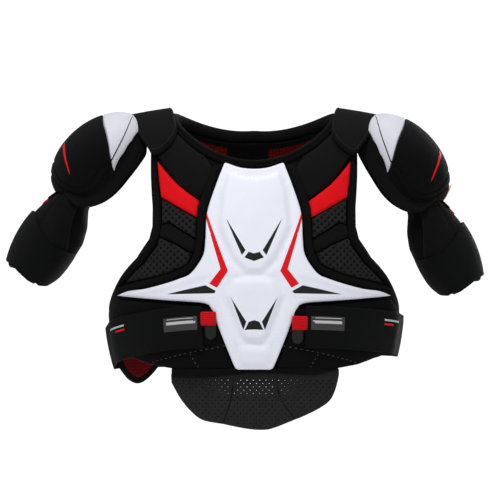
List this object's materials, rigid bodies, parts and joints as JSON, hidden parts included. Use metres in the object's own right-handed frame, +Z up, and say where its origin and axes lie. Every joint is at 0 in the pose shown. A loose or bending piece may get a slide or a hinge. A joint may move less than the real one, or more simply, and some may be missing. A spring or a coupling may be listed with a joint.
{
  "type": "hockey_shoulder_pads",
  "caption": "Ice hockey shoulder pads: padded vest with a moulded white breast plate, shoulder caps, biceps pads, kidney wings with elastic straps, and a belly flap",
  "frame": {"origin": "the middle of the neck opening, level with the top of the wearer's shoulders; x = 0 is the wearer's middle plane", "axes": "+Z up, -Y the front of the pads, +X the wearer's left side"},
  "size_m": [0.6425, 0.2719, 0.429],
  "materials": {
    "white_skin": "satin, fine grained moulded skin over foam",
    "black_knit": "matte brushed knit laminated on foam",
    "black_foam": "matte closed cell foam with a brushed face",
    "dark_mesh": "matte embossed spacer mesh",
    "black_elastic": "matte ribbed elastic webbing",
    "red_knit": "satin polyester knit",
    "red_liner": "matte wicking mesh",
    "clear_insert": "satin polyethylene sheet, hidden inside",
    "black_plate": "satin moulded plate"
  },
  "bodies": {
    "torso": {"front_foam": "black_foam", "front_liner": "red_liner", "sternum_insert": "clear_insert", "sternum_plate": "white_skin", "collar_front": "black_knit", "collar_back": "black_knit", "back_foam": "black_foam", "back_liner": "red_liner", "spine_guard": "black_foam", "spine_plate": "black_plate", "hem_binding": "black_knit", "chest_panel_left": "black_knit", "chest_panel_right": "black_knit", "red_inset_left": "red_knit", "red_inset_right": "red_knit", "upper_mesh_left": "dark_mesh", "upper_mesh_right": "dark_mesh", "lower_mesh_left": "dark_mesh", "lower_mesh_right": "dark_mesh", "plate_band_left": "black_knit", "plate_band_right": "black_knit", "armhole_binding_left": "black_knit", "armhole_binding_right": "black_knit", "waist_panel_left": "black_elastic", "waist_panel_right": "black_elastic", "shoulder_bridge_left": "black_foam", "shoulder_bridge_right": "black_foam", "shoulder_flap_left": "black_knit", "shoulder_flap_right": "black_knit", "scapula_pad_left": "black_knit", "scapula_pad_right": "black_knit", "loin_pad_left": "dark_mesh", "loin_pad_right": "dark_mesh"},
    "belly": {"belly_flap": "dark_mesh"},
    "cap_left": {"cap_liner_left": "black_foam", "cap_shell_left": "clear_insert", "cap_cover_left": "black_knit", "cap_crown_left": "white_skin", "cap_flange_left": "black_foam"},
    "arm_left": {"arm_liner_left": "black_foam", "arm_insert_left": "clear_insert", "arm_pad_left": "black_knit", "arm_band_left": "black_elastic", "arm_hanger_left": "red_knit"},
    "wing_left": {"wing_pad_left": "black_knit", "strap_anchor_left": "black_elastic"},
    "strap_left": {"side_strap_left": "black_elastic"},
    "cap_right": {"cap_liner_right": "black_foam", "cap_shell_right": "clear_insert", "cap_cover_right": "black_knit", "cap_crown_right": "white_skin", "cap_flange_right": "black_foam"},
    "arm_right": {"arm_liner_right": "black_foam", "arm_insert_right": "clear_insert", "arm_pad_right": "black_knit", "arm_band_right": "black_elastic", "arm_hanger_right": "red_knit"},
    "wing_right": {"wing_pad_right": "black_knit", "strap_anchor_right": "black_elastic"},
    "strap_right": {"side_strap_right": "black_elastic"}
  },
  "joints": [
    {"name": "belly_fold", "type": "hinge", "parent": "torso", "child": "belly", "pos_m": [0, -0.119, -0.328], "axis": [-1, 0, 0], "range_deg": [-6, 60]},
    {"name": "cap_lift_left", "type": "hinge", "parent": "torso", "child": "cap_left", "pos_m": [0.163, 0, 0.012], "axis": [0, -1, 0], "range_deg": [-1, 38]},
    {"name": "arm_swing_left", "type": "hinge", "parent": "cap_left", "child": "arm_left", "pos_m": [0.2492, 0, -0.0983], "axis": [0, -1, 0], "range_deg": [-2, 35]},
    {"name": "wing_swing_left", "type": "hinge", "parent": "torso", "child": "wing_left", "pos_m": [0.108, 0.088, -0.27], "axis": [0, 0, 1], "range_deg": [0, 60]},
    {"name": "strap_open_left", "type": "hinge", "parent": "wing_left", "child": "strap_left", "pos_m": [0.2, -0.003, -0.27], "axis": [0, 0, 1], "range_deg": [0, 100]},
    {"name": "cap_lift_right", "type": "hinge", "parent": "torso", "child": "cap_right", "pos_m": [-0.163, 0, 0.012], "axis": [0, 1, 0], "range_deg": [-1, 38]},
    {"name": "arm_swing_right", "type": "hinge", "parent": "cap_right", "child": "arm_right", "pos_m": [-0.262, 0, -0.087], "axis": [0, 1, 0], "range_deg": [-2, 35]},
    {"name": "wing_swing_right", "type": "hinge", "parent": "torso", "child": "wing_right", "pos_m": [-0.108, 0.088, -0.27], "axis": [0, 0, -1], "range_deg": [0, 60]},
    {"name": "strap_open_right", "type": "hinge", "parent": "wing_right", "child": "strap_right", "pos_m": [-0.2, -0.003, -0.27], "axis": [0, 0, -1], "range_deg": [0, 100]}
  ]
}
